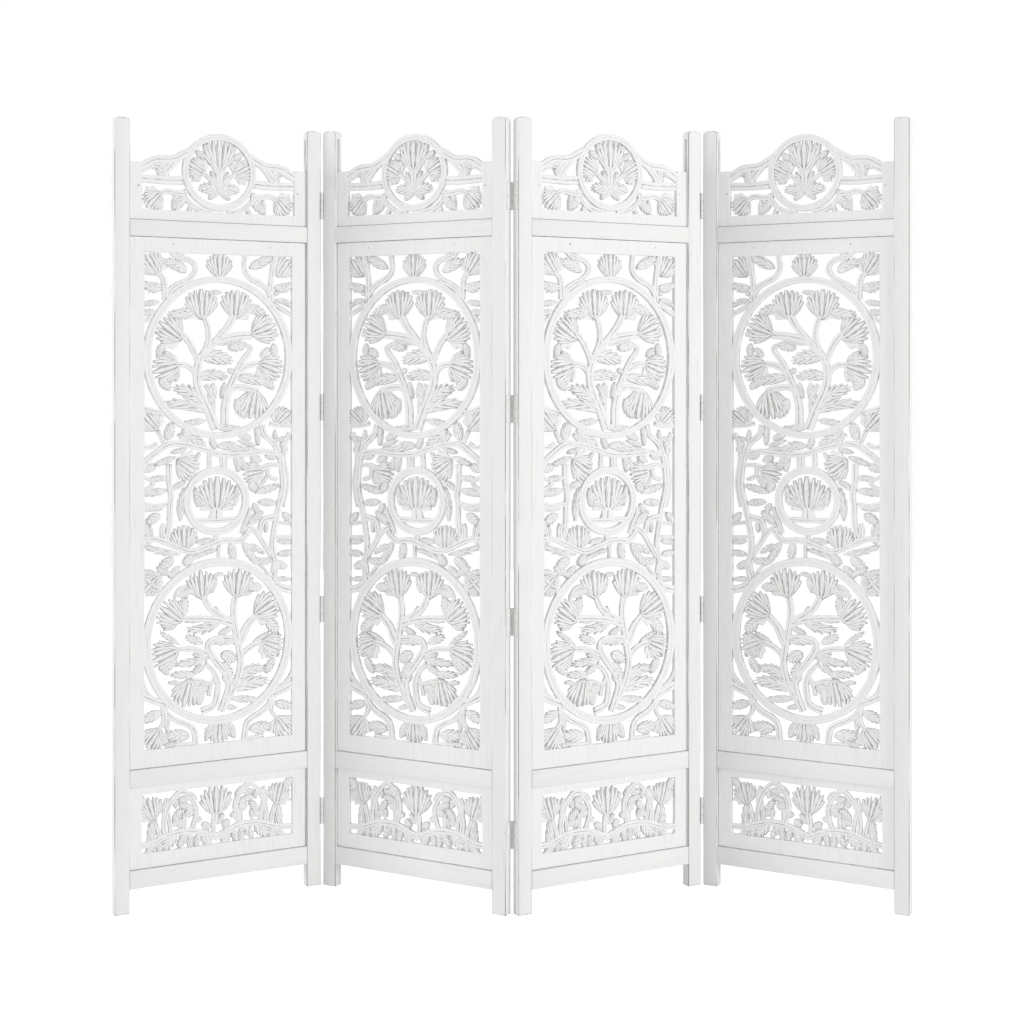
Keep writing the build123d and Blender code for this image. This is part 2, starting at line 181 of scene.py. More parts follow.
upright_paint = chalk_paint("chalk_paint_on_upright_mango_wood", grain=(1, 1, 0.05))
for number in PANELS:
    for side in ("left", "right"):
        node = f"panel_{number}_{side}_post"
        post = as_built(number, node)
        ease_arrises(post, ARRIS)
        set_in_place(post, number, node, "painted", upright_paint)


# ---------------------------------------------------------------- rails
# Three rails to a panel, of the same stock as the posts and flush with them. A stub tenon at each
# end sits in the posts' grooves, and the boards' tongues sit in grooves along the rails. The coat
# is rubbed through where a rail meets its neighbours, which draws a fine dark line at each joint.
RAIL_ARRIS = 1.4

level_paint = chalk_paint("chalk_paint_on_level_mango_wood", grain=(0.05, 1, 1), rub_from=0.26)
for number in PANELS:
    for level in ("bottom", "middle", "top"):
        node = f"panel_{number}_{level}_rail"
        rail = as_built(number, node)
        ease_arrises(rail, RAIL_ARRIS)
        set_in_place(rail, number, node, "painted", level_paint)


# ---------------------------------------------------------------- main boards
# The tall board of each panel, 12 mm thick, fretted right through and then carved with gouges on
# both faces. Two big medallions each hold a tree of lotus flowers, a small one between them holds
# a single lotus, and vines fill the ground. Even panels have the pattern the other way round.
MID_DEPTH = FRAME_DEPTH / 2
HALF_BOARD = 6
TONGUE_HALF = 3
TONGUE_REACH = 8
CARVED_WHITE = "#F1F1F0"
# The grey of the cuts is grime with painted shade: it darkens grooves, creases and the walls of the
# fretwork, where shade falls.
CUT_GRIME_AND_SHADE = "#8F8D8B"
# The carving's own streaks and patches of grime. The grime is drawn coarser than it is, to show.
CARVED_ROUGHNESS = 0.66
CARVED_STREAK, GRIME_SIZE = 4, 14
GRIME_DEPTH = 0.4 * MM
# A blade's section, from edge to edge: the share of its half width, how deep it is cut there, and
# how clean and lit the paint is, where low values grey it with grime and painted shade. A sepal is
# smooth with half-shaded edges, a petal has a painted shade line inside each edge, and a stem has a
# crease down its middle with painted shade in it. The ends dip at least as deep as END_DIP, and are
# no cleaner than the limit beside it, which greys them with grime and painted shade.
SMOOTH = ((-1, 0.9, 0.5), (-0.75, 0.1, 0.9), (0, -0.1, 1), (0.75, 0.1, 0.9), (1, 0.9, 0.5))
OUTLINED = ((-1, 0.9, 0.7), (-0.72, 0.15, 0), (-0.42, 0, 1), (0.42, 0, 1), (0.72, 0.15, 0), (1, 0.9, 0.7))
CREASED = ((-1, 1.5, 0.5), (-0.7, 0.2, 1), (-0.22, 0, 1), (0, 0.5, 0.1), (0.22, 0, 1), (0.7, 0.2, 1),
           (1, 1.5, 0.5))
END_DIP, END_CLEAN_LIT = 1.2, 0.5
# Outlines are half widths at even steps from foot to tip.
PETAL = (0.5, 0.75, 0.95, 1, 0.88, 0.5)
OVAL = (0.4, 0.8, 1, 0.95, 0.75, 0.35)
LOBE = (0.5, 0.9, 1, 0.9, 0.7, 0.3)
MIDRIB = (0.9, 1, 0.9, 0.75, 0.5, 0.2)
# A petal is the turn of its tip and of its middle from the flower's axis, in degrees, its reach and
# half width as shares of the flower's length, its level, which is the height of its crown over the
# board's middle, and its section. Sepals droop on one side or both, and the bud comes last.
SEPALS = ((80, 56, 0.5, 0.13, 3.4, SMOOTH), (64, 50, 0.74, 0.13, 3.7, SMOOTH))
PETALS = (
    (46, 50, 0.76, 0.085, 4.0, OUTLINED), (35, 41, 0.9, 0.085, 4.25, OUTLINED),
    (23, 32, 0.96, 0.085, 4.5, OUTLINED), (12, 21, 0.98, 0.08, 4.75, OUTLINED),
    (27, 40, 0.6, 0.065, 5.0, OUTLINED),
)
BUD = ((0, 0, 1, 0.14, 5.25, OUTLINED), (0, 0, 0.78, 0.08, 5.55, OUTLINED))
PETAL_ROWS = 5
LEFT, RIGHT, BOTH, NEITHER = (1,), (-1,), (1, -1), ()
# A lobe is where it leaves the midrib, where it ends beside it, how far out it reaches, and its level.
LEAF_LOBES = ((0, 0.4, 0.95, 4.0), (0.1, 0.6, 1, 4.35), (0.3, 0.8, 0.8, 4.7), (0.5, 0.95, 0.45, 5.0))
# A lobe's and the midrib's half width as a share of the leaf's width, and how far a lobe bows out.
LOBE_HALF, LOBE_BOW = 0.16, 0.55
LOBE_ROWS, MIDRIB_STEPS = 4, 20
MIDRIB_LEVEL, STEM_LEVEL = 5.6, 5.0
STEM_STEP = 9
# How high a medallion's rim stands over the board's middle at its edges, its flats and its groove,
# and how wide the slopes between them are.
RIM_EDGE, RIM_FLAT, RIM_GROOVE = 4, 5.5, 4.3
EDGE_SLOPE, GROOVE_SLOPE = 1.5, 1.2
RIM_STEPS = 96


def carved_paint(name, grain):
    """The same chalk paint over carving: the ground coat and grime show grey in every cut, with painted
    shade.
    """
    made, tree, shader = new_material(name)
    place = add(tree, "Attribute", attribute_name="panel_place").outputs["Vector"]
    along = add(tree, "Mapping", {"Vector": place, "Scale": grain})
    streaks = add(tree, "TexNoise", {"Vector": along.outputs[0], "Scale": 1 / CARVED_STREAK, "Detail": 4})
    blotches = add(tree, "TexNoise", {"Vector": place, "Scale": 1 / GRIME_SIZE, "Detail": 4})
    clean_and_lit = add(tree, "Attribute", attribute_name="clean_and_lit")
    # A cut's grey, grime and painted shade, reaches further up its sides where the blotches are strong.
    grime_and_shade_reach = add(tree, "MapRange", {0: blotches.outputs[0], 1: 0.35, 2: 0.65, 3: 0.3, 4: 0.85})
    painted = add(tree, "MapRange", {0: clean_and_lit.outputs["Fac"], 1: 0.05, 2: grime_and_shade_reach.outputs[0]},
                  interpolation_type="SMOOTHSTEP")
    thin = add(tree, "MapRange", {0: streaks.outputs[0], 1: 0.5, 2: 0.8, 3: 0, 4: 0.5})
    coat = add(tree, "Mix", {"Factor": thin.outputs[0], 6: linear(CARVED_WHITE), 7: linear(PAINT_THIN)},
               data_type="RGBA")
    colour = add(tree, "Mix", {"Factor": painted.outputs[0], 6: linear(CUT_GRIME_AND_SHADE), 7: coat.outputs[2]},
                 data_type="RGBA")
    finish_surface(tree, shader, colour, blotches, 0.3, GRIME_DEPTH)
    shader.inputs["Roughness"].default_value = CARVED_ROUGHNESS
    return made


def new_shape():
    """An empty shape that notes how clean and lit each point's paint is: 0 in a cut greyed by grime and
    painted shade, 1 on a crown.
    """
    shape = bmesh.new()
    shape.verts.layers.float.new("clean_and_lit")
    return shape


def span_at(t, count):
    """Which span between evenly spaced points t, from 0 to 1, falls in, and how far along that span."""
    along = min(t * (count - 1), count - 1.000001)
    return int(along), along - int(along)


def curve(points, rows):
    """A smooth line through the given points, as one point for each row."""
    ends = [Vector(p) for p in points]
    line = [2 * ends[0] - ends[1], *ends, 2 * ends[-1] - ends[-2]]
    smooth = []
    for row in range(rows):
        i, t = span_at(row / (rows - 1), len(ends))
        a, b, c, d = line[i:i + 4]
        smooth.append((2 * b + (c - a) * t + (2 * a - 5 * b + 4 * c - d) * t * t
                       + (3 * b - a - 3 * c + d) * t ** 3) / 2)
    return smooth


def share(values, t):
    """The value at t, from 0 to 1, along a row of evenly spaced values."""
    i, part = span_at(t, len(values))
    return values[i] + (values[i + 1] - values[i]) * part


def blade(motif, line, half_width, outline, section, level):
    """One gouged blade along a line, the same on the front and the back of the board."""
    clean_and_lit = motif.verts.layers.float["clean_and_lit"]
    last = len(line) - 1
    sheet = bmesh.ops.create_grid(motif, x_segments=len(section) - 1, y_segments=last, size=1)["verts"]
    for index, vert in enumerate(sheet):
        row, column = divmod(index, len(section))
        across, cut, clean_lit = section[column]
        heading = (line[min(row + 1, last)] - line[max(row - 1, 0)]).normalized()
        at = line[row] + Vector((-heading.y, heading.x)) * across * half_width * share(outline, row / last)
        # A blade's ends dip under its neighbours and are greyed with grime and painted shade.
        if row in (0, last):
            cut, clean_lit = max(cut, END_DIP), min(clean_lit, END_CLEAN_LIT)
        vert.co = (at.x, cut - level, at.y)
        vert[clean_and_lit] = clean_lit
    faces = {face for vert in sheet for face in vert.link_faces}
    back = bmesh.ops.extrude_face_region(motif, geom=list(faces))["geom"]
    for vert in back:
        if isinstance(vert, bmesh.types.BMVert):
            vert.co.y = -vert.co.y


def add_to(whole, shape):
    """Adds a finished shape to the whole that it belongs to, and frees it."""
    loose = bpy.data.meshes.new("loose")
    shape.to_mesh(loose)
    shape.free()
    whole.from_mesh(loose)
    bpy.data.meshes.remove(loose)


def join_in(board, motif, centre):
    """Joins a finished motif to its board, about the centre that its points are measured from."""
    bmesh.ops.recalc_face_normals(motif, faces=motif.faces)
    bmesh.ops.translate(motif, vec=(centre[0], MID_DEPTH, centre[1]), verts=motif.verts)
    add_to(board, motif)


def stem(board, centre, points, root, tip, level=STEM_LEVEL):
    """A rounded stem through the points, which tapers from its root's width to its tip's."""
    motif = new_shape()
    length = sum((Vector(b) - Vector(a)).length for a, b in zip(points, points[1:]))
    rows = max(4, round(length / STEM_STEP))
    blade(motif, curve(points, rows), root / 2, (1, tip / root), CREASED, level)
    join_in(board, motif, centre)


def flower(board, centre, base, tip, drooping):
    """A lotus in profile: drooping sepals, narrow petals that curl up, and a bud in the middle."""
    motif = new_shape()
    foot, axis = Vector(base), Vector(tip) - Vector(base)
    parts = [(side * turn, side * swell, *rest) for side in drooping for turn, swell, *rest in SEPALS]
    parts += [(side * turn, side * swell, *rest) for side in BOTH for turn, swell, *rest in PETALS]
    for turn, swell, reach, half, level, section in (*parts, *BUD):
        middle = Matrix.Rotation(math.radians(swell), 2) @ axis * reach * 0.5
        end = Matrix.Rotation(math.radians(turn), 2) @ axis * reach
        line = curve([foot, foot + middle, foot + end], PETAL_ROWS)
        outline = PETAL if turn else OVAL
        blade(motif, line, half * axis.length, outline, section, level)
    join_in(board, motif, centre)


def leaf(board, centre, base, tip, width, bow):
    """A leaf with four pairs of lobes along a midrib, bowed to its left by a share of its length."""
    motif = new_shape()
    foot, axis = Vector(base), Vector(tip) - Vector(base)
    left = Vector((-axis.y, axis.x))
    midrib = curve([foot, foot + axis * 0.5 + left * bow, foot + axis], MIDRIB_STEPS + 1)
    for root, end, reach, level in LEAF_LOBES:
        for side in (-1, 1):
            start, stop = midrib[round(root * MIDRIB_STEPS)], midrib[round(end * MIDRIB_STEPS)]
            over = left.normalized() * side * reach * width / 2
            line = curve([start, (start + stop) / 2 + over * LOBE_BOW, stop + over], LOBE_ROWS)
            blade(motif, line, width * LOBE_HALF, LOBE, OUTLINED, level)
    blade(motif, midrib[::4], width * LOBE_HALF, MIDRIB, CREASED, MIDRIB_LEVEL)
    join_in(board, motif, centre)


def ring(board, centre, outer, inner, outer_narrowing=1.0, inner_narrowing=1.0):
    """A medallion's rim with a groove round it. Its widths are narrowed where it isn't quite round."""
    rim = new_shape()
    clean_and_lit = rim.verts.layers.float["clean_and_lit"]
    middle = (outer + inner) / 2
    face = [(outer, RIM_EDGE), (outer - EDGE_SLOPE, RIM_FLAT), (middle + GROOVE_SLOPE, RIM_FLAT),
            (middle, RIM_GROOVE), (middle - GROOVE_SLOPE, RIM_FLAT), (inner + EDGE_SLOPE, RIM_FLAT),
            (inner, RIM_EDGE)]
    section = []
    for radius, depth in face + [(radius, -depth) for radius, depth in reversed(face)]:
        section.append(rim.verts.new((radius, depth, 0)))
        # The rim's groove and edges are half grey: grime and painted shade.
        section[-1][clean_and_lit] = 1 if abs(depth) == RIM_FLAT else 0.5
    edges = [rim.edges.new(pair) for pair in zip(section, section[1:] + section[:1])]
    bmesh.ops.spin(rim, geom=section + edges, axis=(0, 1, 0), angle=2 * math.pi, steps=RIM_STEPS,
                   use_merge=True)
    for vert in rim.verts:
        outwards = (math.hypot(vert.co.x, vert.co.z) - inner) / (outer - inner)
        vert.co.x *= inner_narrowing + (outer_narrowing - inner_narrowing) * outwards
    join_in(board, rim, centre)


# A band along a board's outer edges, where it sits back in its frame, is greyed with grime and painted
# shade.
SEAM = Vector((2.4, 2.4))
SEAM_CLEAN_LIT = 0.1
TONGUE_ROOT = 5
BORDER_ARRIS = 0.7


def ease_border(shape, edges):
    """Takes the sharpness off the given edges of a plain border."""
    bmesh.ops.bevel(shape, geom=edges, offset=BORDER_ARRIS, segments=1, profile=0.5, affect="EDGES",
                    material=-1)


def blank(board, low, high, window_low, window_high):
    """The board's plain border round its window, and the tongue that runs all round it."""
    reach, root = Vector((TONGUE_REACH, TONGUE_REACH)), Vector((TONGUE_ROOT, TONGUE_ROOT))
    borders = ((low, high, window_low, window_high, HALF_BOARD),
               (low - reach, high + reach, low + root, high - root, TONGUE_HALF))
    for outer_low, outer_high, inner_low, inner_high, half in borders:
        corners = ((outer_low, outer_high), (outer_low + SEAM, outer_high - SEAM),
                   (inner_low, inner_high))
        border = new_shape()
        clean_and_lit = border.verts.layers.float["clean_and_lit"]
        # A unit square, inset twice by a tenth: its corners lie 0.5, 0.4 and 0.3 from the middle.
        bmesh.ops.create_grid(border, x_segments=1, y_segments=1, size=0.5)
        opening = border.faces[:]
        for _ in range(2):
            bmesh.ops.inset_individual(border, faces=opening, thickness=0.1, use_even_offset=True)
        bmesh.ops.delete(border, geom=opening, context="FACES_ONLY")
        for vert in border.verts:
            lowest, highest = corners[round(5 - 10 * abs(vert.co.x))]
            x = lowest.x if vert.co.x < 0 else highest.x
            z = lowest.y if vert.co.y < 0 else highest.y
            vert.co = (x, -half, z)
        grown = bmesh.ops.extrude_face_region(border, geom=border.faces[:])["geom"]
        bmesh.ops.translate(border, vec=(0, 2 * half, 0),
                            verts=[vert for vert in grown if isinstance(vert, bmesh.types.BMVert)])
        ease_border(border, [edge for edge in border.edges if edge.calc_face_angle(0) > 1])
        # The band along the outer edges is greyed with grime and painted shade.
        for vert in border.verts:
            from_edge = min(vert.co.x - outer_low.x, outer_high.x - vert.co.x,
                            vert.co.z - outer_low.y, outer_high.y - vert.co.z)
            vert[clean_and_lit] = SEAM_CLEAN_LIT if from_edge < SEAM.x / 2 else 1
        join_in(board, border, (0, 0))


# The board fills the opening between the posts and the rails, with a clearance all round.
PANEL_WIDTH, POST_WIDTH = 508, 36
EDGE_CLEARANCE = 0.15
MIDDLE_RAIL_TOP, TOP_RAIL_FOOT = 328, 1559
BOARD_LOW = Vector((POST_WIDTH + EDGE_CLEARANCE, MIDDLE_RAIL_TOP + EDGE_CLEARANCE))
BOARD_HIGH = Vector((PANEL_WIDTH - POST_WIDTH - EDGE_CLEARANCE, TOP_RAIL_FOOT - EDGE_CLEARANCE))
SIDE_BORDER, TOP_BORDER, FOOT_BORDER = 36, 35, 42
TREES = ((254, 1280), (254, 611))
LOWER_RING_CENTRE = (253, 609.5)
SMALL_MEDALLION = (247, 941)
HEAD_PINS = ((-113, 264), (126, 264))
# The pattern is measured from the middles of the medallions. A stem is its points and its widths at
# root and tip. A flower is its foot, its tip and the sides on which its sepals droop. A leaf is its
# foot, tip, width and bow. The END tables fill the ground outside a big medallion.
UPPER_STEMS = (
    ([(-8, -170), (-17, -148), (-32, -112), (-48, -80), (-55, -50), (-52, -20), (-44, 0), (-32, 22),
      (-26, 50), (-31, 80), (-42, 104)], 24, 11),
    ([(-48, -4), (-30, 16), (-10, 38), (12, 62), (28, 84), (38, 106)], 14, 18),
    ([(-50, -20), (-56, 0), (-68, 26), (-84, 48), (-98, 56)], 13, 15),
    ([(-54, -50), (-66, -28), (-84, -18), (-108, -18)], 12, 14),
    ([(-32, 18), (-6, 38), (36, 50), (80, 54)], 14, 20),
    ([(14, -164), (14, -120), (22, -84), (34, -56), (46, -30), (58, -8), (72, 10), (78, 24),
      (62, 32)], 20, 10), ([(40, -42), (56, -28), (76, -18), (102, -14)], 14, 14),
    ([(14, -92), (26, -78), (46, -70), (74, -74), (96, -80)], 14, 16),
    ([(-32, -64), (-15, -100), (-15, -140)], 11, 10),
)
UPPER_FLOWERS = (
    ((-43, 90), (-45, 161), LEFT), ((38, 92), (46, 161), RIGHT), ((-92, 42), (-145, 82), LEFT),
    ((-98, -18), (-160, -36), NEITHER), ((80, 56), (142, 82), NEITHER), ((98, -14), (158, -34), RIGHT),
    ((90, -76), (76, -146), NEITHER),
)
UPPER_LEAVES = (
    ((-44, 2), (34, -8), 34, 0.06), ((-52, -46), (18, -42), 26, 0.05), ((-14, -60), (-30, -114), 20, 0.1),
    ((44, -48), (122, -62), 26, 0.06), ((-44, -104), (-112, -70), 30, -0.1), ((14, -58), (4, -98), 12, 0),
    ((-24, -128), (-140, -110), 28, -0.1), ((-34, -148), (-96, -158), 16, 0),
    ((-14, -160), (66, -170), 18, -0.05), ((66, 30), (20, 22), 22, 0), ((-12, 32), (58, 41), 13, 0),
    ((-104, -8), (-136, 14), 14, 0), ((136, 34), (138, 2), 18, 0), ((-142, 30), (-148, -2), 16, 0),
    ((-144, -50), (-118, -76), 24, 0), ((-60, 112), (-126, 100), 26, 0.1),
    ((62, 118), (118, 102), 24, 0.1), ((-28, 152), (8, 155), 12, 0), ((104, -54), (138, -74), 22, 0.1),
    ((42, -98), (66, -145), 22, -0.1), ((22, -28), (36, -36), 14, 0), ((104, 2), (124, 24), 16, 0),
    ((132, 58), (150, 56), 14, 0), ((-100, -24), (-106, -58), 12, 0), ((4, -54), (22, -42), 10, 0),
)
UPPER_END_STEMS = (
    ([(-131, 134), (-133, 165), (-138, 187), (-154, 198)], 16, 11),
    ([(-128, 140), (-118, 158), (-99, 171), (-78, 181), (-63, 195), (-58, 213), (-74, 229), (-106, 236),
      (-122, 254)], 14, 12), ([(130, 134), (130, 180), (134, 212), (142, 254)], 14, 11),
    ([(134, 140), (120, 165), (102, 178), (80, 188), (66, 202), (62, 222), (68, 254)], 14, 12),
    ([(138, 134), (158, 118), (186, 104)], 11, 12), ([(-184, -118), (-164, -124), (-140, -130)], 12, 12),
    ([(-184, 80), (-170, 88), (-162, 104)], 8, 8),
)
UPPER_END_FLOWERS = (
    ((0, 188), (0, 246), NEITHER), ((-148, 192), (-178, 238), RIGHT), ((146, 196), (176, 238), LEFT),
)
UPPER_END_LEAVES = (
    ((-80, 200), (-138, 224), 26, -0.1), ((-138, 162), (-190, 170), 24, 0.1),
    ((-146, 128), (-188, 122), 14, 0), ((76, 214), (134, 242), 24, 0), ((138, 168), (188, 178), 22, -0.1),
    ((138, 152), (150, 158), 12, 0), ((142, 140), (186, 122), 14, 0.1), ((-158, 108), (-192, 98), 14, 0),
    ((-94, 224), (-96, 252), 16, 0),
)
LOWER_STEMS = (
    ([(4, -170), (14, -146), (25, -110), (19, -84), (1, -60), (-17, -36), (-27, -12), (-14, 2), (16, 4),
      (42, 0)], 18, 18),
    ([(16, -150), (38, -112), (50, -80), (53, -50), (49, -24), (44, 6), (38, 38), (35, 70),
      (40, 102)], 17, 17), ([(36, 36), (0, 48), (-40, 54), (-98, 58)], 20, 14),
    ([(26, 44), (-4, 62), (-26, 82), (-40, 112)], 20, 16),
    ([(-108, 84), (-108, 112), (-94, 130), (-78, 134)], 9, 8),
    ([(44, -20), (58, 5), (70, 30), (94, 54)], 23, 18), ([(-28, -30), (-60, -17), (-104, -14)], 14, 14),
    ([(50, -48), (66, -30), (86, -18), (112, -12)], 15, 14),
    ([(-44, -164), (-12, -152), (-4, -124), (-3, -98), (-14, -72), (-34, -52)], 18, 13),
    ([(-26, -130), (-20, -106), (-12, -88)], 11, 9),
    ([(-18, -102), (-32, -97), (-48, -91), (-68, -88)], 10, 10),
)
LOWER_FLOWERS = (
    ((-42, 100), (-46, 168), NEITHER), ((42, 98), (52, 168), NEITHER), ((-92, 50), (-145, 90), NEITHER),
    ((87, 54), (147, 88), RIGHT), ((-100, -14), (-164, -38), NEITHER), ((106, -10), (160, -32), RIGHT),
    ((-72, -86), (-88, -150), LEFT),
)
LOWER_LEAVES = (
    ((6, 46), (-84, 30), 24, 0.1), ((44, -2), (-28, 1), 23, 0.02), ((5, -32), (43, -52), 30, 0.05),
    ((6, -54), (33, -93), 28, 0), ((8, -84), (38, -108), 20, 0), ((50, -90), (118, -73), 27, 0.1),
    ((32, -118), (128, -105), 33, 0.06), ((26, -140), (104, -150), 18, 0),
    ((-26, -40), (-112, -49), 21, 0.03), ((-58, -76), (-122, -72), 20, 0), ((-40, -4), (-86, 17), 22, 0),
    ((-90, 62), (-83, 110), 24, 0), ((108, 120), (66, 122), 24, 0), ((-106, 112), (-60, 124), 22, 0),
    ((-14, 154), (12, 158), 12, 0), ((-144, -46), (-122, -72), 18, 0), ((138, -52), (114, -88), 22, 0),
    ((34, 28), (-4, 15), 15, 0), ((-54, -112), (-26, -108), 26, 0), ((-104, 40), (-138, 34), 12, 0),
    ((0, 52), (-10, 82), 14, 0), ((-96, -4), (-148, 32), 14, 0), ((-30, -38), (-68, -27), 12, 0),
    ((-46, -116), (-50, -150), 20, 0), ((120, 40), (150, 8), 30, 0), ((84, -10), (126, 12), 12, 0),
    ((-36, -58), (-68, -72), 18, 0), ((10, -156), (46, -165), 14, 0), ((46, 108), (84, 106), 14, 0),
    ((-6, 148), (-18, 112), 12, 0), ((-96, -92), (-126, -90), 12, 0), ((-40, 48), (-86, 50), 10, 0),
    ((150, 8), (148, -52), 10, 0),
)
LOWER_END_STEMS = (
    ([(-132, -138), (-130, -158), (-104, -180), (-78, -192), (-61, -208), (-56, -250)], 15, 16),
    ([(130, -138), (128, -160), (104, -180), (80, -192), (67, -208), (62, -250)], 15, 16),
    ([(-190, -44), (-184, -84), (-172, -112), (-148, -130)], 9, 10),
    ([(190, -60), (184, -88), (168, -112), (146, -128)], 9, 10),
    ([(136, -138), (132, -178), (146, -198)], 14, 10),
    ([(-136, -138), (-134, -178), (-148, -198)], 15, 10),
    ([(-142, 116), (-150, 136), (-162, 140)], 10, 9),
    ([(-130, -140), (-160, -128), (-190, -112)], 18, 20),
    ([(130, -142), (160, -130), (190, -118)], 18, 20), ([(140, 128), (158, 115), (190, 108)], 20, 22),
    ([(-60, -240), (-112, -238)], 12, 12), ([(70, -240), (112, -238)], 12, 12),
    ([(134, 150), (139, 176)], 12, 12),
)
LOWER_END_FLOWERS = (
    ((0, -190), (0, -244), BOTH), ((-144, -194), (-176, -238), LEFT), ((144, -194), (176, -238), RIGHT),
    ((-146, 128), (-182, 158), BOTH),
)
LOWER_END_LEAVES = (
    ((-72, -218), (-134, -212), 30, 0), ((76, -218), (132, -213), 30, 0),
    ((-142, -156), (-188, -175), 26, 0), ((140, -160), (188, -175), 24, 0),
    ((-152, 180), (-112, 158), 18, 0), ((24, -196), (38, -236), 20, 0), ((-24, -198), (-34, -236), 14, 0),
    ((-126, -164), (-128, -204), 14, 0), ((-134, -236), (-104, -232), 12, 0),
)
MIDDLE_STEMS = (
    ([(114, 178), (118, 158), (130, 146), (146, 132), (155, 112), (162, 90), (167, 50), (166, 20),
      (156, -20), (148, -60), (141, -100), (143, -130), (150, -160), (144, -206)], 14, 13),
    ([(-115, 90), (-115, 52), (-110, 16), (-113, -12), (-114, -50), (-121, -84)], 14, 12),
    ([(-184, 84), (-152, 112), (-112, 136), (-60, 131), (-20, 120), (0, 112), (40, 108), (80, 110),
      (120, 114), (156, 108)], 14, 14), ([(-128, 140), (-142, 168)], 10, 10),
    ([(-92, 160), (-78, 144), (-60, 134)], 10, 10),
    ([(-184, -84), (-152, -83), (-122, -93), (-92, -107), (-60, -117), (-20, -105), (20, -94),
      (60, -96), (84, -72)], 14, 14), ([(74, -62), (100, -78), (118, -105), (140, -138)], 13, 12),
    ([(108, -86), (116, -52), (150, -44)], 12, 16), ([(108, 74), (140, 82), (164, 78)], 12, 10),
    ([(-184, 0), (-150, -8), (-118, -4)], 13, 10),
    ([(184, 158), (172, 128), (170, 92), (175, 60), (177, 30), (167, -20)], 11, 11),
    ([(-184, 66), (-152, 46), (-184, 24)], 9, 10), ([(-184, -34), (-170, -56), (-162, -94)], 10, 10),
    ([(-18, 72), (-16, 114)], 12, 12), ([(14, 72), (14, 110)], 11, 11), ([(22, 70), (23, 108)], 9, 9),
    ([(0, -74), (0, -102)], 14, 12), ([(-60, -45), (0, -46), (60, -45)], 12, 12),
    ([(-2, -50), (0, -8)], 40, 16), ([(128, 78), (130, 56), (152, 46)], 11, 10),
    ([(150, -56), (188, -62)], 10, 10), ([(148, -92), (190, -94)], 9, 9),
    ([(-126, -50), (-132, -66), (-128, -88)], 13, 12), ([(6, -104), (6, -136)], 8, 8),
    ([(86, -18), (80, -38), (70, -58), (62, -80)], 10, 9), ([(110, -156), (138, -188)], 8, 8),
    ([(-184, 132), (-160, 129), (-144, 138)], 11, 10), ([(134, 182), (160, 176), (190, 175)], 11, 11),
)
MIDDLE_FLOWERS = (
    ((116, 68), (66, 60), LEFT), ((-96, 98), (-48, 65), LEFT), ((-80, -114), (-80, -54), NEITHER),
    ((-144, 170), (-178, 208), RIGHT), ((150, 180), (186, 212), LEFT), ((-144, -170), (-178, -208), LEFT),
    ((0, -24), (2, 58), BOTH),
)
MIDDLE_LEAVES = (
    ((-84, 168), (-26, 131), 25, -0.05), ((2, 130), (74, 113), 22, 0.1), ((54, 159), (87, 144), 18, 0),
    ((101, 172), (104, 148), 16, 0), ((46, 108), (54, 66), 18, 0.1), ((-106, 28), (-74, 48), 14, 0.1),
    ((36, -100), (42, -144), 20, 0), ((70, -110), (120, -130), 16, 0.1), ((66, -100), (98, -152), 20, 0),
    ((-58, -126), (-82, -148), 22, 0), ((104, -6), (152, -10), 18, 0), ((92, -10), (102, -34), 16, 0.1),
    ((-4, -10), (-46, -4), 22, -0.1), ((4, -10), (48, -4), 22, 0.1), ((168, -34), (190, -60), 18, 0),
    ((-100, 106), (-153, 87), 15, 0), ((-118, 58), (-166, 56), 14, 0), ((-46, -12), (-52, 34), 14, 0),
    ((-120, 29), (-184, 21), 18, 0), ((-88, -44), (-78, 36), 18, 0.05), ((-138, -26), (-172, -48), 22, 0),
    ((-184, -14), (-128, -14), 12, 0), ((-88, -122), (-186, -94), 16, 0.05),
    ((-106, -130), (-140, -154), 24, 0), ((-64, -136), (6, -114), 12, 0.05),
    ((62, 123), (104, 119), 12, 0), ((162, 138), (178, 112), 16, 0), ((97, 16), (160, 33), 18, 0),
    ((84, 42), (98, 18), 20, 0), ((154, -102), (190, -106), 14, 0), ((86, -144), (140, -146), 20, -0.1),
    ((154, -134), (194, -130), 16, 0), ((-170, -62), (-190, -78), 14, 0),
    ((-120, 146), (-108, 188), 24, 0), ((-14, 150), (-2, 122), 16, 0), ((54, 142), (98, 128), 12, 0),
    ((102, 168), (104, 128), 14, 0), ((146, 166), (150, 130), 12, 0), ((152, 142), (188, 146), 12, 0),
    ((-74, 124), (-112, 116), 12, 0), ((-50, -97), (-10, -90), 14, 0), ((-184, 80), (-146, 84), 22, 0),
    ((104, 26), (128, 58), 12, 0), ((80, -58), (116, -28), 20, 0), ((126, -54), (123, -80), 12, 0),
    ((148, -152), (178, -168), 20, 0), ((-136, -166), (-186, -156), 14, 0),
    ((-88, -150), (-118, -176), 16, 0), ((-50, 100), (-40, 116), 10, 0), ((122, 104), (150, 98), 14, 0),
    ((150, -192), (190, -196), 14, 0), ((112, 92), (84, 102), 18, 0), ((46, -12), (52, 38), 14, 0),
    ((-160, -50), (-158, -80), 10, 0), ((62, 104), (66, 70), 14, 0),
)
PIN_HEAD_FOOT, PIN_HEAD_RADIUS, PIN_HEAD_DEPTH = 1.6, 2, 0.5
PIN_HEAD_CLEAN = 0.25


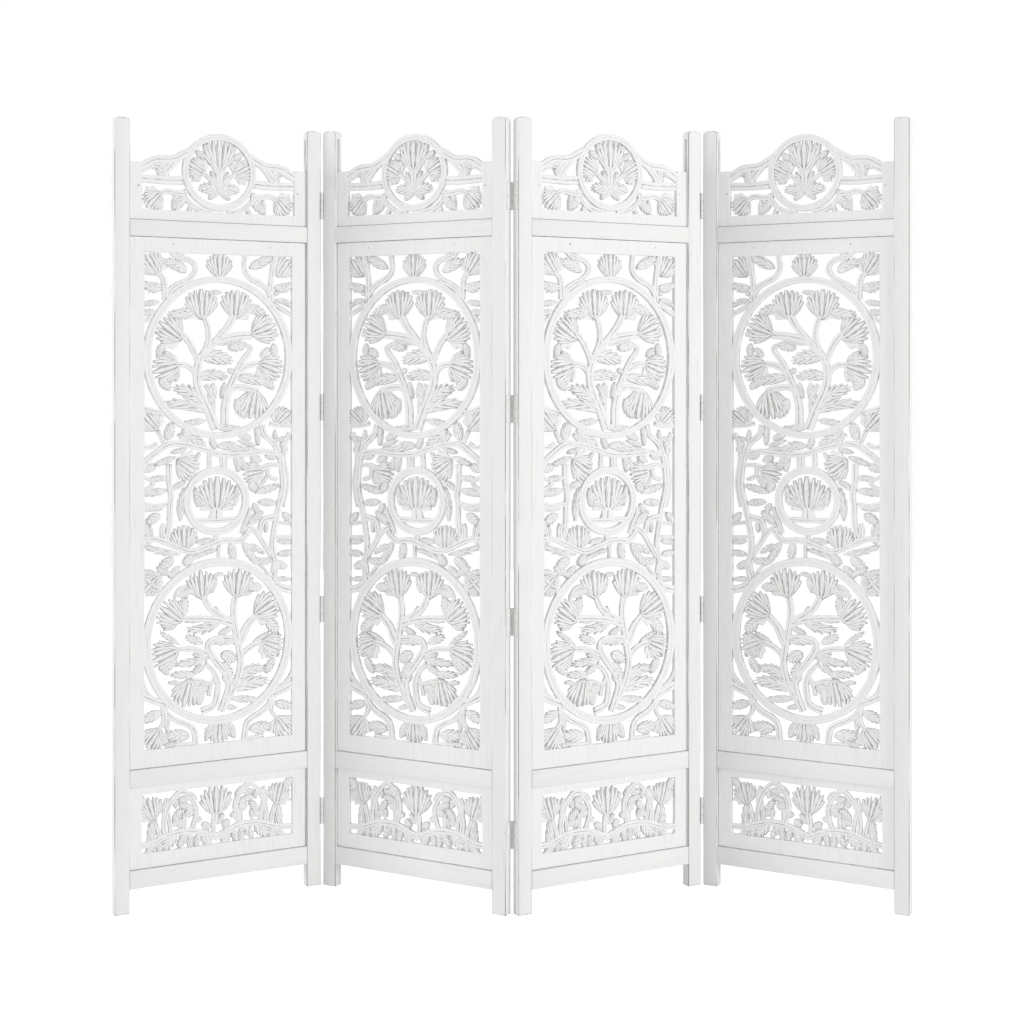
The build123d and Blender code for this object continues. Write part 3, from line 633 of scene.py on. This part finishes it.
def panel_pin(board, centre, point):
    """The head of a panel pin, punched nearly level with the front and painted over: it just shows."""
    pin = new_shape()
    clean_and_lit = pin.verts.layers.float["clean_and_lit"]
    bmesh.ops.create_cone(pin, cap_ends=True, segments=16, radius1=PIN_HEAD_FOOT, radius2=PIN_HEAD_RADIUS,
                          depth=PIN_HEAD_DEPTH)
    bmesh.ops.rotate(pin, cent=(0, 0, 0), matrix=Matrix.Rotation(math.pi / 2, 3, "X"), verts=pin.verts)
    bmesh.ops.translate(pin, vec=(point[0], -HALF_BOARD, point[1]), verts=pin.verts)
    for vert in pin.verts:
        vert[clean_and_lit] = PIN_HEAD_CLEAN
    join_in(board, pin, centre)


def grow(board, centre, stems, flowers, leaves, side=1):
    """Carves one part of the pattern about a centre, or with a side of -1 its mirror image."""
    def flip(point):
        return side * point[0], point[1]

    for points, root, tip in stems:
        stem(board, centre, [flip(point) for point in points], root, tip)
    for base, tip, width, bow in leaves:
        leaf(board, centre, flip(base), flip(tip), width, side * bow)
    for base, tip, drooping in flowers:
        flower(board, centre, flip(base), flip(tip), [side * hand for hand in drooping])


def main_board():
    """One main board, in the pattern of the odd panels."""
    board = new_shape()
    window_low = BOARD_LOW + Vector((SIDE_BORDER, FOOT_BORDER))
    window_high = BOARD_HIGH - Vector((SIDE_BORDER, TOP_BORDER))
    blank(board, BOARD_LOW, BOARD_HIGH, window_low, window_high)
    upper, lower = TREES
    ring(board, upper, outer=192, inner=177, outer_narrowing=0.96, inner_narrowing=0.935)
    ring(board, LOWER_RING_CENTRE, outer=197, inner=177, outer_narrowing=0.94, inner_narrowing=0.93)
    ring(board, SMALL_MEDALLION, outer=81, inner=64)
    grow(board, upper, UPPER_STEMS, UPPER_FLOWERS, UPPER_LEAVES)
    grow(board, upper, UPPER_END_STEMS, UPPER_END_FLOWERS, UPPER_END_LEAVES)
    grow(board, lower, LOWER_STEMS, LOWER_FLOWERS, LOWER_LEAVES)
    grow(board, lower, LOWER_END_STEMS, LOWER_END_FLOWERS, LOWER_END_LEAVES)
    grow(board, SMALL_MEDALLION, MIDDLE_STEMS, MIDDLE_FLOWERS, MIDDLE_LEAVES)
    for point in HEAD_PINS:
        panel_pin(board, upper, point)
    return board


def turn_round(board):
    """Mirrors a board about its panel's middle, because even panels have the pattern that way."""
    bmesh.ops.scale(board, vec=(-1, 1, 1), verts=board.verts)
    bmesh.ops.translate(board, vec=(PANEL_WIDTH, 0, 0), verts=board.verts)
    bmesh.ops.reverse_faces(board, faces=board.faces)


upright_carving = carved_paint("chalk_paint_on_carved_boards", grain=(1, 1, 0.06))


def set_boards(kind, pattern):
    """Sets a copy of a board in each panel, and frees the one that was copied."""
    for number in PANELS:
        board = pattern.copy()
        if number % 2 == 0:
            turn_round(board)
        node = f"panel_{number}_{kind}_board"
        set_in_place(board, number, node, "carved", upright_carving)
    pattern.free()


set_boards("main", main_board())


# ---------------------------------------------------------------- lower boards
# The short board between the middle and bottom rails, fretted and carved like the main one: a lotus
# between two scrolls, with a flower and a tall leaf at each end.
BOTTOM_RAIL_TOP, MIDDLE_RAIL_FOOT = 97, 288
LOWER_LOW = Vector((POST_WIDTH + EDGE_CLEARANCE, BOTTOM_RAIL_TOP + EDGE_CLEARANCE))
LOWER_HIGH = Vector((PANEL_WIDTH - POST_WIDTH - EDGE_CLEARANCE, MIDDLE_RAIL_FOOT - EDGE_CLEARANCE))
LOWER_CENTRE = (246, 193)
LOWER_WINDOW_LOW, LOWER_WINDOW_HIGH = Vector((66, 132)), Vector((437, 267.8))
SCROLL_STEMS = (
    ([(210, -46), (160, -42), (130, -32), (100, -24), (60, -24), (30, -34), (0, -46), (-2, -47)], 14, 16),
    ([(124, -24), (126, 4), (114, 42), (88, 70), (64, 58), (48, 26), (53, -6), (62, -26)], 13, 13),
    ([(110, -20), (113, 4), (117, 24)], 10, 10), ([(136, -30), (141, -8), (148, 14)], 11, 10),
    ([(74, 72), (80, 82)], 20, 24), ([(118, 60), (125, 40), (127, 20)], 11, 8),
)
SCROLL_FLOWERS = (((150, 14), (164, 66), RIGHT),)
SCROLL_LEAVES = (
    ((158, -62), (155, 22), 21, 0), ((54, 2), (34, 0), 16, 0), ((56, 28), (94, 44), 17, 0),
    ((104, 6), (82, 32), 18, 0), ((106, -8), (92, 8), 18, 0), ((60, -26), (94, -60), 22, 0.1),
    ((100, -24), (130, -60), 32, 0), ((30, -34), (16, -66), 24, 0), ((66, -26), (62, -66), 18, 0),
    ((46, -30), (6, -48), 22, -0.1), ((140, -38), (172, -66), 18, 0), ((66, 51), (94, 53), 16, 0),
    ((56, 24), (78, 14), 22, 0), ((90, -14), (88, 12), 14, 0), ((66, 68), (46, 46), 12, 0),
    ((44, -34), (50, -64), 17, 0), ((137, -40), (138, -64), 16, 0), ((172, 50), (190, 76), 20, 0),
    ((34, -10), (14, -22), 18, 0), ((98, 54), (98, 32), 13, 0),
)
LOTUS_STEMS = (([(-4, -48), (-6, -16), (0, 14)], 10, 16),)
LOTUS_FLOWERS = (((0, 4), (0, 76), NEITHER),)
LOTUS_LEAVES = (((2, -16), (20, 8), 14, 0),)
# The short stems that stand in different places to the left and the right of the lotus.
ODD_STEMS = (([(62, -16), (61, 16)], 11, 11), ([(-77, -16), (-76, 20)], 13, 12))

lower_board = new_shape()
blank(lower_board, LOWER_LOW, LOWER_HIGH, LOWER_WINDOW_LOW, LOWER_WINDOW_HIGH)
for side in BOTH:
    grow(lower_board, LOWER_CENTRE, SCROLL_STEMS, SCROLL_FLOWERS, SCROLL_LEAVES, side)
grow(lower_board, LOWER_CENTRE, LOTUS_STEMS, LOTUS_FLOWERS, LOTUS_LEAVES)
grow(lower_board, LOWER_CENTRE, ODD_STEMS, (), ())
set_boards("lower", lower_board)


# ---------------------------------------------------------------- crest boards
# The shaped board at the top of each panel, held by its tongues between the posts. A small
# medallion rises above two scrolled shoulders, and a spray of three lotus flowers fills it.
CREST_CENTRE = (254, 1717)
TOP_RAIL_TOP = 1597
CREST_BASE = TOP_RAIL_TOP + EDGE_CLEARANCE - CREST_CENTRE[1]
CREST_SIDE = PANEL_WIDTH / 2 - POST_WIDTH - EDGE_CLEARANCE
CREST_SEAM_TOP, CREST_FOOT_TOP = CREST_BASE + 2.5, CREST_BASE + 25
CREST_INNER, CREST_SHOULDER = CREST_SIDE - 30, 14
TONGUE_OUTER, TONGUE_INNER = CREST_SIDE + TONGUE_REACH, CREST_SIDE - TONGUE_ROOT
SEAM_LAP, BORDER_LAP = 1.3, 5
TONGUE_TOP = CREST_SHOULDER - 3
# What the board is joined up from, by its left, right, foot and head, its half thickness, and how
# clean and lit its paint is: a seam greyed with grime and painted shade, the foot border, the side
# borders, and the tongues of foot and sides.
# The seam and the sides are a little thinner than the foot border, whose faces they would share.
CREST_BORDERS = (
    (-CREST_SIDE, CREST_SIDE, CREST_BASE, CREST_SEAM_TOP, HALF_BOARD - 0.2, SEAM_CLEAN_LIT),
    (-CREST_SIDE, CREST_SIDE, CREST_SEAM_TOP - SEAM_LAP, CREST_FOOT_TOP, HALF_BOARD, 1),
    (-CREST_SIDE, -CREST_INNER, CREST_FOOT_TOP - BORDER_LAP, CREST_SHOULDER, HALF_BOARD - 0.1, 1),
    (CREST_INNER, CREST_SIDE, CREST_FOOT_TOP - BORDER_LAP, CREST_SHOULDER, HALF_BOARD - 0.1, 1),
    (-TONGUE_OUTER, TONGUE_OUTER, CREST_BASE - TONGUE_REACH, CREST_BASE + TONGUE_ROOT, TONGUE_HALF, 1),
    (-TONGUE_OUTER, -TONGUE_INNER, CREST_BASE, TONGUE_TOP, TONGUE_HALF, 1),
    (TONGUE_INNER, TONGUE_OUTER, CREST_BASE, TONGUE_TOP, TONGUE_HALF, 1),
)
# The rounded edge from a post to the medallion. The left one lies this much higher than drawn, and
# the right one as much lower.
SHOULDER = [(212, 2), (192, 2), (179, 7), (165, 16), (148, 21), (120, 22), (104, 27), (88, 36), (70, 46)]
SHOULDER_LEAN = 2
SHOULDER_WIDTH, SHOULDER_LEVEL = 18, 5.7
CREST_PIN = (196, -41)
SPRAY_STEMS = (([(0, -52), (0, 10)], 8, 20),)
SPRAY_FLOWERS = (((0, 4), (0, 78), NEITHER),)
CREST_STEMS = (
    ([(2, -46), (20, -18), (46, 2)], 12, 9), ([(0, -14), (12, 8), (22, 26)], 7, 8),
    ([(78, -54), (104, -54), (128, -50), (148, -60)], 14, 12),
    ([(86, -44), (80, -66), (56, -86), (20, -96)], 10, 14), ([(88, -23), (130, -25), (200, -23)], 20, 18),
    ([(96, 30), (114, 14), (131, -6), (140, -22)], 14, 18), ([(200, -14), (180, -2), (160, 6)], 12, 10),
    ([(188, -44), (204, -52)], 14, 14),
)
CREST_FLOWERS = (((36, -4), (78, 20), BOTH), ((142, -54), (176, -90), LEFT))
CREST_LEAVES = (
    ((2, -48), (51, -37), 27, 0.1), ((4, -50), (27, -63), 15, 0.1), ((66, -80), (78, -98), 12, 0),
    ((134, -24), (142, 20), 30, 0), ((182, 8), (118, 20), 26, 0), ((84, -62), (112, -92), 22, 0),
    ((2, -40), (22, 4), 12, 0), ((36, 34), (58, 48), 15, 0), ((24, 54), (40, 64), 12, 0),
    ((48, -22), (66, -10), 14, 0), ((109, -58), (112, -98), 12, 0),
)

crest_board = new_shape()
for left, right, foot, head, half, clean_lit in CREST_BORDERS:
    plank = new_shape()
    clean_and_lit = plank.verts.layers.float["clean_and_lit"]
    bmesh.ops.create_cube(plank, size=1)
    bmesh.ops.scale(plank, vec=(right - left, 2 * half, head - foot), verts=plank.verts)
    bmesh.ops.translate(plank, vec=((left + right) / 2, 0, (foot + head) / 2), verts=plank.verts)
    ease_border(plank, plank.edges[:])
    for vert in plank.verts:
        vert[clean_and_lit] = clean_lit
    join_in(crest_board, plank, CREST_CENTRE)
ring(crest_board, CREST_CENTRE, outer=91, inner=76)
grow(crest_board, CREST_CENTRE, SPRAY_STEMS, SPRAY_FLOWERS, ())
for side in BOTH:
    shoulder = [(side * u, v - SHOULDER_LEAN * side) for u, v in SHOULDER]
    stem(crest_board, CREST_CENTRE, shoulder, SHOULDER_WIDTH, SHOULDER_WIDTH, SHOULDER_LEVEL)
    grow(crest_board, CREST_CENTRE, CREST_STEMS, CREST_FLOWERS, CREST_LEAVES, side)
    panel_pin(crest_board, CREST_CENTRE, (side * CREST_PIN[0], CREST_PIN[1]))
set_boards("crest", crest_board)


# ---------------------------------------------------------------- hinges
# Four steel butt hinges join each pair of panels, at the front for the outer pairs and at the back for
# the middle one. Each has two leaves pressed from strip, screwed to the posts' edges, whose knuckles
# take turns along a pin that is driven through them. They were brushed over with the screen's paint.
HINGE_HEIGHTS = (180, 670, 1160, 1650)
# Each fold line: the panel with the outer leaves and the pins, the panel with the inner leaves, and
# whether the hinges are at the back.
HINGE_PAIRS = (("1_2", 1, 2, False), ("2_3", 3, 2, True), ("3_4", 3, 4, False))
HINGE_LENGTH = 63.5
LEAF_THICKNESS, LEAF_WIDTH = 1.2, 20
LEAF_CLEARANCE = 0.2
LEAF_ARRIS = 0.3
# The side of the pin's line that a leaf lies on, and which thirds of the hinge its knuckles take.
LEAVES = {"outer_leaves": (-1, (-1, 1)), "inner_leaves": (1, (0,))}
# How far the pin's line lies beside the panel's edge, and how far before its face.
LINE_BESIDE, LINE_BEFORE = 1.4, 3.2
BARREL_RADIUS, PIN_RADIUS = 3, 1.5
KNUCKLE_LENGTH, KNUCKLE_PITCH = 21.033, 21.233
PIN_LENGTH = 21.43
# Each screw's height from the hinge's middle, and how far across the leaf it is.
SCREWS = ((-22, 0.5), (0, 0.65), (22, 0.5))
SCREW_RADIUS, SCREW_TAPER, SCREW_THICKNESS = 3.1, 0.3, 0.2
SLOT_SIZE = Vector((0.02, 0.8, 4.8))
CHIP_SIZE, CHIP_DEPTH = 3, 0.1 * MM
STEEL_GREY = "#6E6E6C"
# The screws' slots are dark with painted shade.
SLOT_SHADE = "#3A3938"


def painted_steel(name):
    """Chalk paint brushed over steel: chipped to dull grey on the edges, with painted shade in the screws'
    slots.
    """
    made, tree, shader = new_material(name)
    place = add(tree, "Attribute", attribute_name="panel_place").outputs["Vector"]
    chips = add(tree, "TexNoise", {"Vector": place, "Scale": 1 / CHIP_SIZE, "Detail": 4})
    chipped = add(tree, "MapRange", {0: chips.outputs[0], 1: 0.36, 2: 0.52})
    worn = add(tree, "Attribute", attribute_name="worn")
    bare = add(tree, "Math", {0: worn.outputs["Fac"], 1: chipped.outputs[0]}, operation="MULTIPLY")
    slot = add(tree, "Attribute", attribute_name="slot")
    coat = add(tree, "Mix", {"Factor": bare.outputs[0], 6: linear(PAINT_WHITE), 7: linear(STEEL_GREY)},
               data_type="RGBA")
    colour = add(tree, "Mix", {"Factor": slot.outputs["Fac"], 6: coat.outputs[2], 7: linear(SLOT_SHADE)},
                 data_type="RGBA")
    gloss = add(tree, "MapRange", {0: bare.outputs[0], 3: 0.55, 4: 0.38})
    finish_surface(tree, shader, colour, chips, 0.2, CHIP_DEPTH)
    tree.links.new(gloss.outputs[0], shader.inputs["Roughness"])
    return made


def bar(shape, low, high):
    """A square-edged bar from its lowest corner to its highest."""
    verts = bmesh.ops.create_cube(shape, size=1)["verts"]
    bmesh.ops.scale(shape, vec=Vector(high) - Vector(low), verts=verts)
    bmesh.ops.translate(shape, vec=(Vector(low) + Vector(high)) / 2, verts=verts)
    return verts


def rod(shape, radius, length, height):
    """A round rod on the pin's line, with its middle at a height."""
    verts = bmesh.ops.create_cone(shape, cap_ends=True, segments=28, radius1=radius, radius2=radius,
                                  depth=length)["verts"]
    bmesh.ops.translate(shape, vec=(0, 0, height), verts=verts)


def hinge_leaf(side, knuckles, height):
    """A leaf on one side of the pin's line, with its knuckles and three slotted countersunk screws."""
    leaf_shape = bmesh.new()
    inner, outer = sorted((side * LEAF_CLEARANCE, side * (LEAF_CLEARANCE + LEAF_THICKNESS)))
    bar(leaf_shape, (inner, LINE_BEFORE, height - HINGE_LENGTH / 2),
        (outer, LINE_BEFORE + LEAF_WIDTH, height + HINGE_LENGTH / 2))
    for level in knuckles:
        middle = height + level * KNUCKLE_PITCH
        rod(leaf_shape, BARREL_RADIUS, KNUCKLE_LENGTH, middle)
        bar(leaf_shape, (inner, 0, middle - KNUCKLE_LENGTH / 2),
            (outer, LINE_BEFORE, middle + KNUCKLE_LENGTH / 2))
    ease_arrises(leaf_shape, LEAF_ARRIS)
    slot = leaf_shape.verts.layers.float.new("slot")
    turn = Matrix.Rotation(-side * math.pi / 2, 3, "Y")
    for rise, share_across in SCREWS:
        centre = Vector((side * LEAF_CLEARANCE, LINE_BEFORE + LEAF_WIDTH * share_across, height + rise))
        head = bmesh.ops.create_cone(leaf_shape, cap_ends=True, segments=20, radius1=SCREW_RADIUS,
                                     radius2=SCREW_RADIUS - SCREW_TAPER, depth=SCREW_THICKNESS)["verts"]
        bmesh.ops.rotate(leaf_shape, cent=(0, 0, 0), matrix=turn, verts=head)
        bmesh.ops.translate(leaf_shape, vec=centre, verts=head)
        # Each slot is a thin dark bar on the head: painted shade in place of the slot's recess.
        low = centre - Vector((side * SCREW_THICKNESS / 2, 0, 0)) - SLOT_SIZE / 2
        for vert in bar(leaf_shape, low, low + SLOT_SIZE):
            vert[slot] = 1
    return leaf_shape


def hinge_pin(height):
    """The stub of the pin that shows in the gaps between the knuckles, rounded over at its ends."""
    pin = bmesh.new()
    rod(pin, PIN_RADIUS, PIN_LENGTH, height)
    ease_arrises(pin, LEAF_ARRIS)
    return pin


def hinge_row(kind):
    """The four leaves or the four pins of one fold line, about the pins' line."""
    row = bmesh.new()
    for height in HINGE_HEIGHTS:
        add_to(row, hinge_leaf(*LEAVES[kind], height) if kind in LEAVES else hinge_pin(height))
    return row


leaf_paint = painted_steel("painted_steel_hinge_leaves")
pin_paint = painted_steel("painted_steel_hinge_pins")
for pair, holder, neighbour, at_back in HINGE_PAIRS:
    left_line = Vector((-LINE_BESIDE, FRAME_DEPTH + LINE_BEFORE if at_back else -LINE_BEFORE, 0))
    right_line = left_line + Vector((PANEL_WIDTH + 2 * LINE_BESIDE, 0, 0))
    holder_line, neighbour_line = (left_line, right_line) if at_back else (right_line, left_line)
    turn = Matrix.Rotation(math.pi if at_back else 0, 4, "Z")
    for kind, number, line, slot, paint in (
            ("outer_leaves", holder, holder_line, "hinge_leaves", leaf_paint),
            ("inner_leaves", neighbour, neighbour_line, "hinge_leaves", leaf_paint),
            ("pins", holder, holder_line, "hinge_pins", pin_paint)):
        row = hinge_row(kind)
        row.transform(Matrix.Translation(line) @ turn)
        set_in_place(row, number, f"hinge_{pair}_{kind}", "painted", paint)


# ---------------------------------------------------------------- floor, light and camera
# A sheet of pale paper as the floor and a soft, even studio light. The camera looks level from in
# front, and its frame is shifted down to take in the feet.
FLOOR_SIZE = 14
PAPER = "#F4F4F4"
# How much brighter the camera sees the paper than the light makes it, and how strongly the sky lights.
PAPER_GLOW, SKY_LIGHT = 0.55, 0.57
LENS = 60.15
EYE = (0, -4.048, 1.227)
LOOK_DOWN = -0.129

floor_shape = bmesh.new()
bmesh.ops.create_grid(floor_shape, x_segments=1, y_segments=1, size=FLOOR_SIZE / 2)
floor_mesh = bpy.data.meshes.new("studio_floor")
floor_shape.to_mesh(floor_mesh)
floor_shape.free()
floor = bpy.data.objects.new("studio_floor", floor_mesh)
bpy.context.scene.collection.objects.link(floor)
paper, tree, shader = new_material("white_paper")
shader.inputs["Base Color"].default_value = linear(PAPER)
shader.inputs["Roughness"].default_value = 0.9
seen = add(tree, "LightPath")
glow = add(tree, "Math", {0: seen.outputs["Is Camera Ray"], 1: PAPER_GLOW}, operation="MULTIPLY")
shader.inputs["Emission Color"].default_value = linear("#FFFFFF")
tree.links.new(glow.outputs[0], shader.inputs["Emission Strength"])
floor_mesh.materials.append(paper)

world = bpy.data.worlds.new("studio")
bpy.context.scene.world = world
world.use_nodes = True
tree = world.node_tree
tree.nodes.clear()
rays = add(tree, "LightPath")
mirrored = add(tree, "Math", {0: rays.outputs["Is Camera Ray"], 1: rays.outputs["Is Glossy Ray"]},
               operation="MAXIMUM")
shown = add(tree, "Math", {0: mirrored.outputs[0], 1: rays.outputs["Is Transmission Ray"]},
            operation="MAXIMUM")
strength = add(tree, "MapRange", {0: shown.outputs[0], 3: SKY_LIGHT, 4: 1})
sky = add(tree, "Background", {"Color": linear("#FFFFFF"), "Strength": strength.outputs[0]})
add(tree, "OutputWorld", {"Surface": sky.outputs[0]})

# Each lamp's place, size and power. They all point at the middle of the screen.
LAMPS = (
    ("key_lamp", (-8.2, -2.6, 2.4), 3, 250),
    ("fill_lamp", (8, -6, 3.2), 3.4, 400),
    ("back_lamp", (-3.5, 8, 2.8), 3, 190),
)
SCREEN_MIDDLE = Vector((0, 0, 0.9))
for name, spot, size, power in LAMPS:
    lamp = bpy.data.objects.new(name, bpy.data.lights.new(name, "AREA"))
    lamp.data.size = size
    lamp.data.energy = power
    lamp.location = spot
    lamp.rotation_euler = (SCREEN_MIDDLE - Vector(spot)).to_track_quat("-Z", "Y").to_euler()
    bpy.context.scene.collection.objects.link(lamp)

camera = bpy.data.objects.new("camera", bpy.data.cameras.new("camera"))
camera.data.lens = LENS
camera.data.shift_y = LOOK_DOWN
camera.location = EYE
camera.rotation_euler = (math.pi / 2, 0, 0)
bpy.context.scene.collection.objects.link(camera)
bpy.context.scene.camera = camera
bpy.context.scene.view_settings.view_transform = "Standard"
